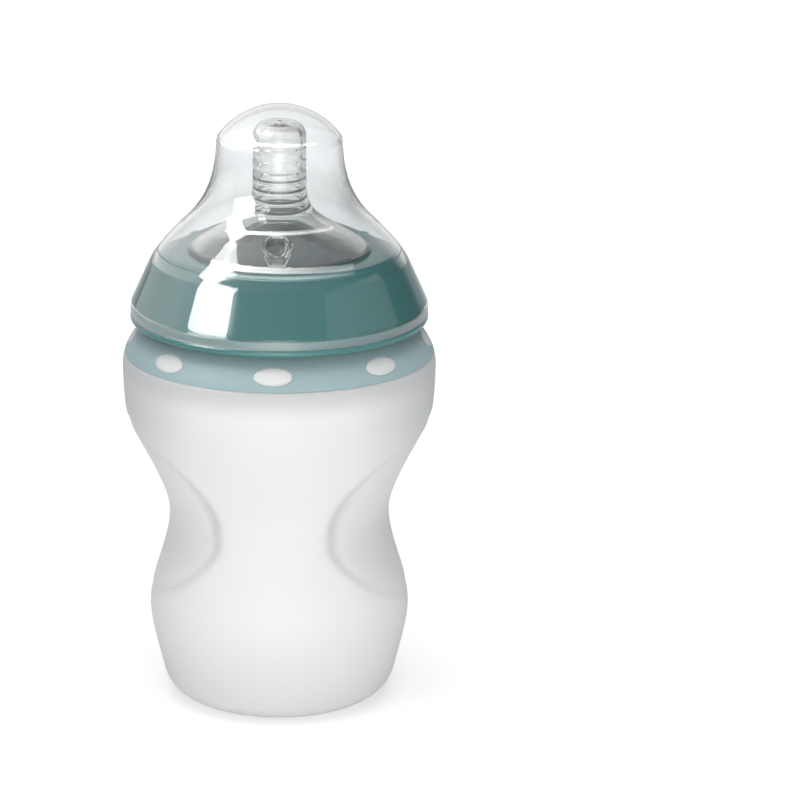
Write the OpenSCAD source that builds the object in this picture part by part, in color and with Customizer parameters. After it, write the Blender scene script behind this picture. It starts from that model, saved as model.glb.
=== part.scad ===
// Baby bottle: a soft body with a rigid collar moulded into it, a screw ring that
// clamps the teat on the collar's neck, and a clear cap that stands on the ring.
// Z is up and the origin is the centre of the base. The front faces -Y.

/* [Body] */
// Height of the seam between the body and its collar
body_h = 93; // [91:0.2:95]
// Radius of the flat base
base_r = 21.6; // [19:0.2:23]
// Radius of the rounding from the base into the wall
base_round = 9; // [7:0.2:10]
// Lean of the wall above that rounding, in degrees
base_lean = 13.5; // [8:0.5:18]
// Height of the lower bulge
bulge_z = 25.5; // [21:0.5:29]
// Radius of the lower bulge
bulge_r = 33.9; // [32.5:0.1:36]
// Height of the waist
waist_z = 50; // [46:0.2:54]
// Radius of the waist at the front and the back
waist_r = 33.2; // [31.5:0.1:35]
// How far below the seam the body is widest and its shoulder starts to round over
shoulder_drop = 3.4; // [2.4:0.1:3.7]
// Radius of the body at its widest
shoulder_r = 40.5; // [39.5:0.1:42]
// Radius of the rounding over the shoulder
shoulder_round = 11.8; // [11.5:0.1:13]
// Thickness of the soft wall
body_wall = 2.2; // [1.6:0.1:3]
// Thickness of the base
floor_t = 3; // [2.2:0.1:4]
// Radius of the hollow under the base
recess_r = 17; // [12:0.5:18]
// Depth of the hollow under the base
recess_d = 0.8; // [0.3:0.1:1.2]

/* [Finger grips] */
// Distance from the middle of the bottle to the bottom of a grip, at the waist
grip_half_w = 28.6; // [27:0.1:30]
// How far past the middle of the bottle the centre of a grip's round lies
grip_offset = 9.4; // [6:0.1:13]
// How fast a grip flares out above the waist, in mm per mm
grip_flare_up = 0.57; // [0.45:0.01:0.7]
// How fast a grip flares out below the waist, in mm per mm
grip_flare_down = 0.37; // [0.3:0.01:0.45]
// Softness of the waist line in a grip
grip_round = 8.5; // [5:0.5:11]

/* [Collar] */
// Height of the collar's shoulder above the seam
collar_h = 8; // [7:0.1:8.3]
// Thickness of the collar's wall
collar_t = 1.6; // [1.2:0.1:2]
// Number of pegs round the collar
peg_count = 8; // [4:1:12]
// Height of the pegs above the seam
peg_z = 3.5; // [3:0.1:4]
// Width of a peg
peg_w = 10; // [6:0.2:12]
// Height of a peg
peg_h = 4; // [2.5:0.1:4.4]
// Outer radius of the neck
neck_r = 27.2; // [26.4:0.1:27.6]
// Inner radius of the neck
mouth_r = 24.8; // [23.6:0.1:25.2]
// Height of the neck above the collar's shoulder
neck_h = 15; // [13:0.1:18]

/* [Thread] */
// Rise of the thread in one turn
pitch = 5; // [4.4:0.1:5.6]
// Length of the thread on the neck, in degrees
neck_thread_turn = 396; // [300:6:420]
// Length of the thread in the ring, in degrees
ring_thread_turn = 360; // [240:6:390]
// Depth of a thread
thread_d = 1.3; // [1:0.05:1.5]
// Width of a thread at its root
thread_w = 2.4; // [1.8:0.1:2.6]
// Radial clearance between the two threads' crests and roots
thread_gap = 0.4; // [0.3:0.05:0.6]

/* [Screw ring] */
// Outer radius of the ring's rim
rim_r = 38.4; // [38.3:0.1:40]
// Height of the rim
rim_h = 1.8; // [1.5:0.1:3]
// Radius of the upright foot between the rim and the cone
cone_r = 37; // [36:0.1:37.1]
// Height of that foot
foot_h = 2.5; // [1.5:0.1:3.5]
// Radius of the cone at the top of the ring
cone_top_r = 30.6; // [29:0.1:31]
// How far the cone's upper edge leans in, to clear the cap's flare
brow_d = 0.9; // [0.8:0.1:1.4]
// Height of the part of the cone that leans in
brow_h = 3; // [2.4:0.1:3.4]
// Thickness of the cone's wall
cone_t = 1.8; // [1.4:0.1:2.4]
// Thickness of the inner wall that carries the thread
skirt_t = 1.7; // [1.4:0.1:2.2]
// Thickness of the ring's top
ring_top_t = 2; // [1.6:0.1:2.6]
// Radius of the hole in the ring's top
hole_r = 22.4; // [21.6:0.1:23.4]
// Gap between the ring and the collar's shoulder
ring_gap = 0.5; // [0.3:0.1:1]

/* [Teat] */
// Radius of the flange that the ring clamps
flange_r = 28.2; // [27.6:0.1:28.4]
// Thickness of that flange
flange_t = 2; // [1.6:0.1:2.6]
// Gap between the teat and the edge of the ring's hole
hole_gap = 0.3; // [0.2:0.05:0.6]
// How far the dome's edge reaches over the ring
dome_lip = 0.8; // [0.4:0.1:2]
// Radius of the nipple
nipple_r = 6.8; // [6:0.1:8]
// Height of the tip above the ring
teat_h = 33.4; // [31:0.1:38]
// Height of the nipple's foot above the ring
nipple_z = 16; // [14:0.1:17]
// Rounding of the nipple's tip
tip_round = 3.8; // [3:0.1:5.5]
// Thickness of the nipple's wall
teat_wall = 1.5; // [1.2:0.1:2]
// Diameter of the hole in the tip
flow_d = 1; // [0.6:0.1:1.6]
// Distance between the nipple's flexing ribs
rib_pitch = 3.1; // [2.4:0.1:3.2]
// Depth of the grooves between the ribs
rib_d = 0.4; // [0.2:0.05:0.6]
// Number of ribs
rib_count = 4; // [2:1:4]

/* [Valve] */
// Distance of the air valve from the middle of the teat
valve_x = 15.7; // [15:0.1:16.4]
// Outer radius of the valve's cup
valve_r = 4.3; // [3.6:0.1:4.5]
// Radius of the cup's mouth
valve_mouth_r = 2.8; // [2:0.1:3]
// Outer radius of the valve's foot
valve_foot_r = 2.4; // [2:0.1:3]
// Height of the valve's foot below the top of the ring
valve_drop = 0.9; // [0:0.1:1.6]
// Width of the slit in the foot
slit_w = 0.4; // [0.3:0.05:0.6]

/* [Cap] */
// Thickness of the cap's wall
cap_wall = 1; // [0.8:0.1:1.6]
// Gap between the cap and the ring's cone, measured level
cap_gap = 0.25; // [0.2:0.05:1.4]
// Gap between the cap and the tip of the teat
tip_gap = 3.2; // [0.6:0.1:5]
// Radius of the round top
dome_r = 19.5; // [18:0.1:22]
// Radius of the cap's neck just below the round top
cap_neck_r = 16.2; // [15:0.1:17.5]
// Radius of the cap's lower edge
cap_rim_r = 38.3; // [38.2:0.1:38.5]
// Thickness of the cap's lower edge
cap_rim_t = 1.05; // [0.9:0.05:1.1]

/* [Hidden] */
$fn = 96;
mould_gap = 0.05;         // collar to soft wall, and peg to window
groove_gap = 0.3;         // dome's edge to the top of the ring
eps = 0.01;

// Heights, from the base up
shoulder_z = body_h - shoulder_drop;
plate_z = body_h + collar_h;
plate_under_z = plate_z - collar_t;
rim_z = plate_z + neck_h;
ring_z = plate_z + ring_gap;
ledge_z = ring_z + rim_h;
ring_under_z = rim_z + flange_t;
ring_top_z = ring_under_z + ring_top_t;
tip_z = ring_top_z + teat_h;
cap_top_z = tip_z + tip_gap + cap_wall;

// A cubic curve from p0 to p3 that p1 and p2 steer, without its first point
function curve(p0, p1, p2, p3, n) = [for (i = [1:n]) let (t = i / n, u = 1 - t)
    u * u * u * p0 + 3 * u * u * t * p1 + 3 * u * t * t * p2 + t * t * t * p3];

// An arc about c, from angle a to angle b, without its first point
function arc(c, r, a, b, n) = [for (i = [1:n])
    let (t = a + (b - a) * i / n) c + r * [cos(t), sin(t)]];

// The points in the opposite order
function reversed(points) = [for (i = [len(points) - 1:-1:0]) points[i]];

// Every point of a list moved towards the axis
function moved_in(points, d) = [for (p = points) p - [d, 0]];

// ---- Body ----

bulge = [bulge_r, bulge_z];
waist = [waist_r, waist_z];
shoulder = [shoulder_r, shoulder_z];
round_c = [shoulder_r - shoulder_round, shoulder_z];

// The angle at which a rounding of radius r about round_c reaches the height z
function round_angle(r, z) = asin((z - shoulder_z) / r);

// The rounding over the shoulder at radius r, from one height to another
function shoulder_arc(r, z0, z1, n) = let (a = round_angle(r, z0))
    concat([round_c + r * [cos(a), sin(a)]], arc(round_c, r, a, round_angle(r, z1), n));

// The wall from just above the base's rounding to the height of the shoulder
function wall_points(start, top) = concat(
    curve(start, start + 8 * [tan(base_lean), 1], bulge - [0, 5.5], bulge, 6),
    curve(bulge, bulge + [0, 8], waist - [0, 8], waist, 5),
    curve(waist, waist + [0, 8], top - [0, 23.5], top, 9));

base_c = [base_r, base_round];
base_end = base_c + base_round * [cos(base_lean), -sin(base_lean)];
inner_round = base_round - body_wall;
inner_c = [base_r, floor_t + inner_round];
inner_end = inner_c + inner_round * [cos(base_lean), -sin(base_lean)];

// Radii of the soft sleeve that reaches up inside the collar
sleeve_r = shoulder_round - collar_t - mould_gap;
sleeve_in_r = sleeve_r - body_wall;
sleeve_top_z = plate_under_z - body_wall;

outer_half = concat(
    [[0, recess_d], [recess_r, recess_d], [recess_r + recess_d, 0], [base_r, 0]],
    arc(base_c, base_round, -90, -base_lean, 6),
    wall_points(base_end, shoulder),
    arc(round_c, shoulder_round, 0, round_angle(shoulder_round, body_h), 3),
    shoulder_arc(sleeve_r, body_h, plate_under_z, 8),
    [[0, plate_under_z]]);

inner_half = concat(
    [[0, floor_t], [base_r, floor_t]],
    arc(inner_c, inner_round, -90, -base_lean, 6),
    moved_in(wall_points(inner_end + [body_wall, 0], shoulder - [0, 5]), body_wall),
    shoulder_arc(sleeve_in_r, shoulder_z + 1, sleeve_top_z, 6),
    [[mouth_r, sleeve_top_z], [mouth_r, plate_z], [0, plate_z]]);

// Distance from the bottle's middle to the grip's surface, at height z
function grip_reach(z) = let (d = z - waist_z)
    grip_half_w + (d > 0 ? grip_flare_up : grip_flare_down)
    * (sqrt(d * d + grip_round * grip_round) - grip_round);

// A tall solid whose waist is one of the two grips, on the side where x has this sign
module grip_solid(side, wall) {
    foot = -1;
    head = plate_z + 1;
    steps = 20;
    reach = [for (i = [0:steps]) let (z = foot + (head - foot) * i / steps)
        [grip_offset + grip_reach(z) - wall, z]];
    translate([-side * grip_offset, 0, 0])
        rotate_extrude() polygon(concat([[0, foot]], reach, [[0, head]]));
}

module gripped(half, wall) {
    intersection() {
        rotate_extrude() polygon(half);
        grip_solid(1, wall);
        grip_solid(-1, wall);
    }
}

// The oval outline of a peg, which lies along X at height zero
module peg_prism(w, h, r0, r1) {
    translate([0, 0, body_h + peg_z]) rotate([90, 0, 0]) translate([0, 0, r0])
        linear_extrude(r1 - r0)
            polygon([for (i = [0:23]) [w / 2 * cos(15 * i), h / 2 * sin(15 * i)]]);
}

module around_collar() {
    for (i = [0:peg_count - 1]) rotate([0, 0, 360 / peg_count * i]) children();
}

// The soft pegs that fill the collar's windows and lock it on
module pegs() {
    root_r = sleeve_r - body_wall / 2;
    band = concat(
        shoulder_arc(root_r, body_h + eps, sleeve_top_z, 6),
        reversed(shoulder_arc(shoulder_round, body_h + eps, sleeve_top_z + peg_h / 2, 8)));
    intersection() {
        around_collar() peg_prism(peg_w - 2 * mould_gap, peg_h - 2 * mould_gap,
            mouth_r, shoulder_r + 2);
        rotate_extrude() polygon(band);
    }
}

module bottle_body() {
    color([0.93, 0.93, 0.92, 0.9]) {
        difference() {
            gripped(outer_half, 0);
            gripped(inner_half, body_wall);
        }
        pegs();
    }
}

// ---- Threads ----

// One turn or more of a screw thread that starts at height z. Its root lies at radius
// root and its crest at radius crest, and both ends run out into the wall.
module thread(root, crest, z, turn) {
    steps = ceil(turn / 7.5);
    run_out = 4;
    in_wall = crest > root ? -0.3 : 0.3;
    crest_w = thread_w / 2;
    section = [for (i = [0:steps])
        let (a = turn * i / steps, up = z + pitch * a / 360,
            d = min(1, (i + 0.3) / run_out, (steps - i + 0.3) / run_out),
            top = root + (crest - root) * d, w = thread_w + (crest_w - thread_w) * d)
        [for (q = [[root + in_wall, -thread_w / 2], [top, -w / 2], [top, w / 2],
            [root + in_wall, thread_w / 2]]) [q[0] * cos(a), q[0] * sin(a), up + q[1]]]];
    points = [for (s = section) each s];
    sides = [for (i = [0:steps - 1], k = [0:3])
        let (p = 4 * i + k, q = 4 * i + (k + 1) % 4)
        each [[p, q, q + 4], [p, q + 4, p + 4]]];
    last = 4 * steps;
    ends = [[3, 2, 1], [3, 1, 0], [last, last + 1, last + 2], [last, last + 2, last + 3]];
    faces = concat(sides, ends);
    polyhedron(points, crest > root ? faces : [for (f = faces) reversed(f)]);
}

neck_crest_r = neck_r + thread_d;
skirt_r = neck_crest_r + thread_gap;
ring_crest_r = neck_r + thread_gap;
neck_thread_z = plate_z + 4.6;
// The ring's thread lies in the groove below the neck's, and both pull up on each other
ring_thread_z = neck_thread_z - pitch / 2 + 0.15;

// ---- Collar ----

collar_inner_r = shoulder_round - collar_t;
collar_half = concat(
    [[mouth_r, plate_under_z]],
    reversed(shoulder_arc(collar_inner_r, body_h, plate_under_z, 8)),
    shoulder_arc(shoulder_round, body_h, plate_z, 10),
    [[neck_r, plate_z], [neck_r, rim_z - 0.5], [neck_r - 0.5, rim_z],
        [mouth_r + 0.4, rim_z], [mouth_r, rim_z - 0.4]]);

module collar() {
    color([0.64, 0.75, 0.76]) {
        difference() {
            rotate_extrude() polygon(collar_half);
            around_collar() peg_prism(peg_w, peg_h, neck_r, shoulder_r + 2);
        }
        thread(neck_r, neck_crest_r, neck_thread_z, neck_thread_turn);
    }
}

// ---- Screw ring ----

foot_z = ledge_z + foot_h;
cone_slope = (cone_r - cone_top_r) / (ring_top_z - foot_z);

// Radius of the ring's cone at height z
function cone_at(z) = cone_r - cone_slope * (z - foot_z);

cone_in_r = cone_r - cone_t;
skirt_out_r = skirt_r + skirt_t;
// Height where the space between the cone and the inner wall closes
pocket_z = foot_z + (cone_r - cone_t - skirt_out_r - 0.8) / cone_slope;
rim_round = 0.8;
edge_round = 0.6;

ring_half = concat(
    [[hole_r, ring_under_z], [skirt_r, ring_under_z], [skirt_r, ring_z + 1.2],
        [skirt_out_r, ring_z + 1.2], [skirt_out_r, pocket_z],
        [cone_at(pocket_z) - cone_t, pocket_z], [cone_in_r, ring_z + 0.8], [cone_in_r, ring_z]],
    arc([rim_r - rim_round, ring_z + rim_round], rim_round, -90, 0, 4),
    [[rim_r, ledge_z - 0.3], [rim_r - 0.3, ledge_z], [cone_r, ledge_z], [cone_r, foot_z],
        [cone_at(ring_top_z - brow_h), ring_top_z - brow_h]],
    arc([cone_top_r - brow_d - edge_round, ring_top_z - edge_round], edge_round, 35, 90, 4),
    [[hole_r + 0.3, ring_top_z], [hole_r, ring_top_z - 0.3]]);

module screw_ring() {
    color([0.3, 0.47, 0.46]) {
        rotate_extrude() polygon(ring_half);
        thread(skirt_r, ring_crest_r, ring_thread_z, ring_thread_turn);
    }
}

// ---- Teat ----

groove_r = hole_r - hole_gap;
dome_edge_r = groove_r + dome_lip + hole_gap;
dome_z = ring_top_z + groove_gap;
nipple_foot = [nipple_r + 0.1, ring_top_z + nipple_z];
rib_top_z = nipple_foot[1] + rib_count * rib_pitch;
dome_t = teat_wall + 0.2;

// The dome from its edge up to the nipple's foot, drawn in by d
function dome_points(d) = curve([dome_edge_r - d, dome_z + 0.5 - d / 2],
    [15 - d / 2, ring_top_z + 6.1 - d], [nipple_r + 0.3 - d, ring_top_z + 7.1 - d],
    nipple_foot - [d, 0], 12);

// The nipple's ribs: each swells by rib_d and then draws in to a groove
function rib_points(d) = [for (i = [0:rib_count - 1]) let (z = nipple_foot[1] + rib_pitch * i)
    each [[nipple_r - rib_d - d, z + rib_pitch * 0.15], [nipple_r - d, z + rib_pitch * 0.45],
        [nipple_r - d, z + rib_pitch * 0.8]]];

teat_outer = concat(
    [[0, rim_z], [flange_r, rim_z], [flange_r, ring_under_z], [groove_r, ring_under_z],
        [groove_r, dome_z], [dome_edge_r, dome_z], [dome_edge_r, dome_z + 0.5]],
    dome_points(0), rib_points(0), [[nipple_r, rib_top_z]],
    arc([nipple_r - tip_round, tip_z - tip_round], tip_round, 0, 90, 6),
    [[0, tip_z]]);

inner_tip_round = tip_round - teat_wall;
teat_inner = concat(
    [[0, rim_z - 1], [mouth_r - 2, rim_z - 1], [mouth_r - 2, rim_z + 0.6],
        [groove_r - dome_t, rim_z + flange_t], [groove_r - dome_t, dome_z]],
    dome_points(dome_t), rib_points(teat_wall), [[nipple_r - teat_wall, rib_top_z]],
    arc([nipple_r - tip_round, tip_z - tip_round], inner_tip_round, 0, 90, 5),
    [[0, tip_z - teat_wall]]);

valve_z = ring_top_z - valve_drop;

// What the valve's cup fills, below the dome's skin
module valve_cup() {
    intersection() {
        translate([0, -valve_x, valve_z]) {
            cylinder(r1 = valve_foot_r, r2 = valve_r, h = 4.4);
            translate([0, 0, 4.4]) cylinder(r = valve_r, h = 6);
        }
        rotate_extrude() polygon(teat_outer);
    }
}

module valve_well() {
    floor_z = valve_z + 0.8;
    translate([0, -valve_x, floor_z]) {
        cylinder(r1 = valve_foot_r - 1, r2 = valve_mouth_r, h = 3.6);
        translate([0, 0, 3.6]) cylinder(r = valve_mouth_r, h = 8);
    }
    translate([-valve_foot_r + 0.9, -valve_x - slit_w / 2, valve_z - 1])
        cube([2 * valve_foot_r - 1.8, slit_w, 3]);
}

module teat() {
    color([0.9, 0.92, 0.93, 0.4]) difference() {
        union() {
            difference() {
                rotate_extrude() polygon(teat_outer);
                rotate_extrude() polygon(teat_inner);
            }
            valve_cup();
        }
        valve_well();
        translate([0, 0, tip_z - teat_wall - 1]) cylinder(d = flow_d, h = teat_wall + 2);
    }
}

// ---- Cap ----

// How far out the cap's inner and outer cones lie from the ring's, measured level
cap_wall_level = cap_wall * sqrt(1 + cone_slope * cone_slope);
dome_c = [0, cap_top_z - dome_r];
cap_shoulder_a = acos(cap_neck_r / dome_r);

// The cap's section at distance d inside its outer surface, from the rim to the top
function cap_points(rim, reach, d) = let (
    flare_end = [cone_at(ring_top_z - 3.4) + reach, ring_top_z - 3.4],
    flare_mid = [flare_end[0] - 8.5 - d * 0.25, ring_top_z + 7 - d * 0.5],
    neck = [cap_neck_r - d, dome_c[1] + dome_r * sin(cap_shoulder_a) - 0.8 - d * 0.3],
    low = [rim, foot_z + (cone_r + reach - rim) / cone_slope])
    concat([[rim, ledge_z], low, flare_end],
        curve(flare_end, flare_end + [-1.5, 3.3], flare_mid + [2.8, -2.8], flare_mid, 6),
        curve(flare_mid, flare_mid + [-5, 4.6], neck - [-0.2, 10.5], neck, 8),
        arc(dome_c, dome_r - d, acos((cap_neck_r - 0.2 - d) / (dome_r - d)), 90, 9));

cap_outer = concat([[0, ledge_z]], cap_points(cap_rim_r, cap_gap + cap_wall_level, 0));
cap_inner = concat([[0, ledge_z - 1], [cap_rim_r - cap_rim_t, ledge_z - 1]],
    cap_points(cap_rim_r - cap_rim_t, cap_gap, cap_wall));

module cap() {
    color([0.85, 0.88, 0.88, 0.3]) difference() {
        rotate_extrude() polygon(cap_outer);
        rotate_extrude() polygon(cap_inner);
    }
}

bottle_body();
collar();
screw_ring();
teat();
cap();
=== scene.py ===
"""Baby bottle: the looks of a soft bottle with a finger grip in each side, its collar,
screw ring, teat and cap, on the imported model's own frame. Lengths inside the shape
functions are in millimetres, Z is up and the front faces -Y."""

import math
from types import SimpleNamespace

import bmesh
import bpy
import numpy as np
from bpy.props import FloatProperty, FloatVectorProperty, IntProperty, PointerProperty
from mathutils import Matrix, Vector


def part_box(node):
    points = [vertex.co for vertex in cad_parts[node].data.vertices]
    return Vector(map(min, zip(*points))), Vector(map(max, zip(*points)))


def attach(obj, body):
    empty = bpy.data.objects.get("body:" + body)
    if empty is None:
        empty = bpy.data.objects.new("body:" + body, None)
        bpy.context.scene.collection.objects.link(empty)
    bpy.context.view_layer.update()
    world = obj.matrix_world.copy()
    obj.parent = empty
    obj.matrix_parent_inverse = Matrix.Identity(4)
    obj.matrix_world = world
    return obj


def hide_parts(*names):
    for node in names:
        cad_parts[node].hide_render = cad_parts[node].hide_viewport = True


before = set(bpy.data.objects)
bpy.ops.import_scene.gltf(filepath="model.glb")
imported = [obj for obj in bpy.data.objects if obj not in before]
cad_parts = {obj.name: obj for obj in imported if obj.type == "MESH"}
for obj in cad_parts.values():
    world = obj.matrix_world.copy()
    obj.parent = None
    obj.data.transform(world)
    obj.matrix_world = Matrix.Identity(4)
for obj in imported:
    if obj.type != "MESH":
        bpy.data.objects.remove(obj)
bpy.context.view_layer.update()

bl_info = {
    "name": "Baby bottle",
    "version": (1, 0, 0),
    "blender": (4, 5, 0),
    "location": "View3D > Sidebar > Bottle",
    "description": "Builds a soft baby bottle with its collar, ring, teat and cap",
    "category": "Add Mesh",
}

COLUMNS = 240        # round a turned surface
BODY_COLUMNS = 448   # round the soft body, whose grips have fine edges
SHELL_COLUMNS = 288  # round the ring and the cap, which show sharp reflections
MM = 0.001


# ---------------------------------------------------------------- sizes and colours


def linear(code):
    """The linear red, green and blue of an sRGB colour such as #A0B0C0."""
    c = np.array([int(code[i:i + 2], 16) for i in (1, 3, 5)]) / 255
    return tuple(np.where(c <= 0.04045, c / 12.92, ((c + 0.055) / 1.055) ** 2.4))


def length(name, description, millimetres):
    """A length property, whose default is given in millimetres."""
    return FloatProperty(name=name, description=description, default=millimetres * MM,
                         min=0, precision=4, unit="LENGTH")


def number(name, description, value):
    """A plain number, such as a slope."""
    return FloatProperty(name=name, description=description, default=value)


def colour(name, description, code):
    """A colour property, whose default is given as an sRGB code."""
    return FloatVectorProperty(name=name, description=description, subtype="COLOR",
                               size=3, min=0, max=1, default=linear(code))


def low(node):
    """Height of a CAD node's lowest point, in millimetres."""
    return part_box(node)[0].z / MM


def high(node):
    """Height of a CAD node's highest point, in millimetres."""
    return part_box(node)[1].z / MM


class BottleSizes(bpy.types.PropertyGroup):
    """Sizes of the bottle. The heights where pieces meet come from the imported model."""

    body_h: length("Seam height", "Height of the seam between body and collar", low("collar"))
    base_r: length("Base radius", "Radius of the flat base", 21.6)
    base_round: length("Base rounding", "Rounding from the base into the wall", 9)
    base_lean: FloatProperty(name="Base lean", description="Lean of the wall above the base",
                             default=math.radians(13.5), subtype="ANGLE")
    bulge_z: length("Bulge height", "Height of the lower bulge", 25.5)
    bulge_r: length("Bulge radius", "Radius of the lower bulge", 33.9)
    waist_z: length("Waist height", "Height of the waist", 50)
    waist_r: length("Waist radius", "Radius of the waist at front and back", 33.2)
    shoulder_drop: length("Shoulder drop", "From the seam down to the widest place", 3.4)
    shoulder_r: length("Shoulder radius", "Radius at the widest place", 40.48)
    shoulder_round: length("Shoulder rounding", "Rounding over the shoulder", 11.8)
    body_wall: length("Soft wall", "Thickness of the soft wall", 2.2)
    floor_t: length("Floor", "Thickness of the base", 3)
    recess_r: length("Hollow radius", "Radius of the hollow under the base", 17)
    recess_d: length("Hollow depth", "Depth of the hollow under the base", 0.8)
    grip_half_w: length("Grip reach", "From the middle to a grip at the waist", 28.6)
    grip_offset: length("Grip offset", "How far a grip's centre lies past the middle", 10.4)
    grip_flare_up: number("Grip flare above", "Flare of a grip above the waist", 0.57)
    grip_flare_down: number("Grip flare below", "Flare of a grip below the waist", 0.37)
    grip_round: length("Grip softness", "Softness of the waist line in a grip", 8.5)
    crease_top: length("Upper crease", "Softness of a grip's edge at its upper end", 0.7)
    crease_low: length("Lower crease", "Softness of a grip's edge at its lower end", 1.8)
    crease_w: length("Crease width", "Half width of the fold along a grip's edge", 0.4)
    crease_d: length("Crease depth", "Depth of the fold along a grip's edge", 0.6)
    plate_z: length("Collar's top", "Height of the collar's flat top", high("collar") - 15)
    collar_t: length("Collar wall", "Thickness of the collar's wall", 1.6)
    peg_count: IntProperty(name="Pegs", description="Pegs round the collar", default=8, min=1)
    peg_z: length("Peg height", "Height of the pegs above the seam", 3.5)
    peg_w: length("Peg width", "Width of a peg", 10)
    peg_h: length("Peg size", "Height of a peg's oval", 4)
    neck_r: length("Neck radius", "Outer radius of the neck", 27.2)
    mouth_r: length("Mouth radius", "Inner radius of the neck", 24.8)
    rim_z: length("Neck top", "Height of the neck's top", high("collar"))
    pitch: length("Thread pitch", "Rise of the thread in one turn", 5)
    thread_d: length("Thread depth", "Depth of a thread", 1.3)
    thread_w: length("Thread width", "Width of a thread at its root", 2.4)
    thread_gap: length("Thread clearance", "Clearance between crest and root", 0.4)
    ring_z: length("Ring's underside", "Height of the ring's lower edge", low("screw_ring"))
    rim_r: length("Rim radius", "Outer radius of the ring's rim", 38.4)
    ledge_z: length("Ledge height", "Height of the ledge that carries the cap", low("cap"))
    cone_r: length("Foot radius", "Radius of the upright foot between ledge and cone", 37)
    foot_h: length("Foot height", "Height of that foot", 2.5)
    cone_top_r: length("Cone top", "Radius of the ring's cone at its top", 30.6)
    brow_d: length("Brow", "How far the cone's upper edge leans in", 0.9)
    brow_h: length("Brow height", "Height of the part of the cone that leans in", 3)
    cone_t: length("Cone wall", "Thickness of the ring's cone", 1.8)
    skirt_t: length("Skirt wall", "Thickness of the wall that carries the thread", 1.7)
    ring_top_z: length("Ring's top", "Height of the ring's flat top", high("screw_ring"))
    ring_top_t: length("Ring top wall", "Thickness of the ring's top", 2)
    hole_r: length("Ring hole", "Radius of the hole in the ring's top", 22.4)
    flange_r: length("Flange radius", "Radius of the teat's flange", 28.2)
    hole_gap: length("Teat clearance", "From the teat to the ring's hole", 0.3)
    dome_lip: length("Dome lip", "How far the dome reaches over the ring", 0.8)
    nipple_r: length("Nipple radius", "Radius of the nipple", 6.8)
    nipple_z: length("Nipple foot", "Height of the nipple's foot above the ring", 16)
    tip_z: length("Tip height", "Height of the teat's tip", high("teat"))
    tip_round: length("Tip rounding", "Rounding of the nipple's tip", 3.8)
    teat_wall: length("Teat wall", "Thickness of the nipple's wall", 1.5)
    flow_d: length("Flow hole", "Diameter of the hole in the tip", 1)
    rib_pitch: length("Rib pitch", "Distance between the nipple's ribs", 3.1)
    rib_d: length("Rib depth", "Depth of the grooves between the ribs", 0.25)
    rib_low: length("Lowest rib", "Height of the lowest groove above the ring", 21.1)
    rib_high: length("Highest rib", "Height of the highest groove above the ring", 27.3)
    inner_rib_d: length("Inner rib depth", "How far the inner ribs stand in", 0.35)
    inner_rib_low: length("Lowest inner rib", "Height of the lowest inner rib", 9.6)
    inner_rib_high: length("Highest inner rib", "Height of the highest inner rib", 18)
    valve_x: length("Valve place", "From the teat's middle to its air valve", 15.7)
    valve_r: length("Valve cup", "Outer radius of the valve's cup", 4.3)
    valve_mouth_r: length("Valve mouth", "Radius of the cup's mouth", 2.8)
    valve_foot_r: length("Valve foot", "Outer radius of the valve's foot", 2.4)
    valve_drop: length("Valve drop", "From the ring's top down to the valve's foot", 0.9)
    slit_w: length("Valve slit", "Width of the slit in the valve's foot", 0.4)
    cap_wall: length("Cap wall", "Thickness of the cap's wall", 1)
    cap_gap: length("Cap gap", "From the ring's cone to the cap, measured level", 0.25)
    cap_top_z: length("Cap top", "Height of the cap's top", high("cap"))
    dome_r: length("Cap dome", "Radius of the cap's round top", 19.5)
    cap_neck_r: length("Cap neck", "Radius of the cap just below its round top", 16.2)
    cap_rim_r: length("Cap rim", "Radius of the cap's lower edge", 38.3)
    cap_rim_t: length("Cap rim wall", "Thickness of the cap's lower edge", 1.05)


class BottleColours(bpy.types.PropertyGroup):
    """Colours of the bottle's materials."""

    silicone: colour("Frosted silicone", "The soft body", "#F8F6F4")
    collar: colour("Collar", "Pale green moulded collar", "#A9C0C2")
    ring: colour("Ring", "Dark green moulded ring", "#4D8482")
    teat: colour("Teat", "Clear silicone of the teat", "#FDFDFC")
    cap: colour("Cap", "Clear plastic of the cap", "#FCFDFD")
    ink: colour("Scale", "Ink of the volume scale", "#8FA0A3")
    floor: colour("Floor", "The studio's floor", "#F2F2F2")


def sizes():
    """The scene's sizes by name: lengths in millimetres, angles in degrees."""
    group = bpy.context.scene.bottle_sizes
    found = {}
    for prop in group.bl_rna.properties:
        if prop.identifier in ("rna_type", "name"):
            continue
        value = getattr(group, prop.identifier)
        if prop.unit == "LENGTH":
            value = value / MM
        elif prop.subtype == "ANGLE":
            value = math.degrees(value)
        found[prop.identifier] = value
    return SimpleNamespace(**found)


def paint(name):
    """A colour of the scene's, with full cover."""
    return (*getattr(bpy.context.scene.bottle_colours, name), 1)


# ---------------------------------------------------------------- profiles and grids


def bezier(p0, p1, p2, p3, steps):
    """A cubic curve from p0 to p3 that p1 and p2 steer: u^3 p0 + 3u^2t p1 + 3ut^2 p2 + t^3 p3,
    where t runs from 0 to 1 and u is 1 - t."""
    t = np.linspace(0, 1, steps + 1)[:, None]
    u = 1 - t
    p0, p1, p2, p3 = (np.asarray(p, float) for p in (p0, p1, p2, p3))
    return u ** 3 * p0 + 3 * u * u * t * p1 + 3 * u * t * t * p2 + t ** 3 * p3


def arc(centre, radius, a, b, steps):
    """A circle's arc from angle a to b, in degrees: centre + radius (cos, sin)."""
    t = np.radians(np.linspace(a, b, steps + 1))
    return np.column_stack([centre[0] + radius * np.cos(t), centre[1] + radius * np.sin(t)])


def straight(p0, p1, steps):
    """Evenly spaced points from p0 to p1."""
    return np.linspace(np.asarray(p0, float), np.asarray(p1, float), steps + 1)


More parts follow.
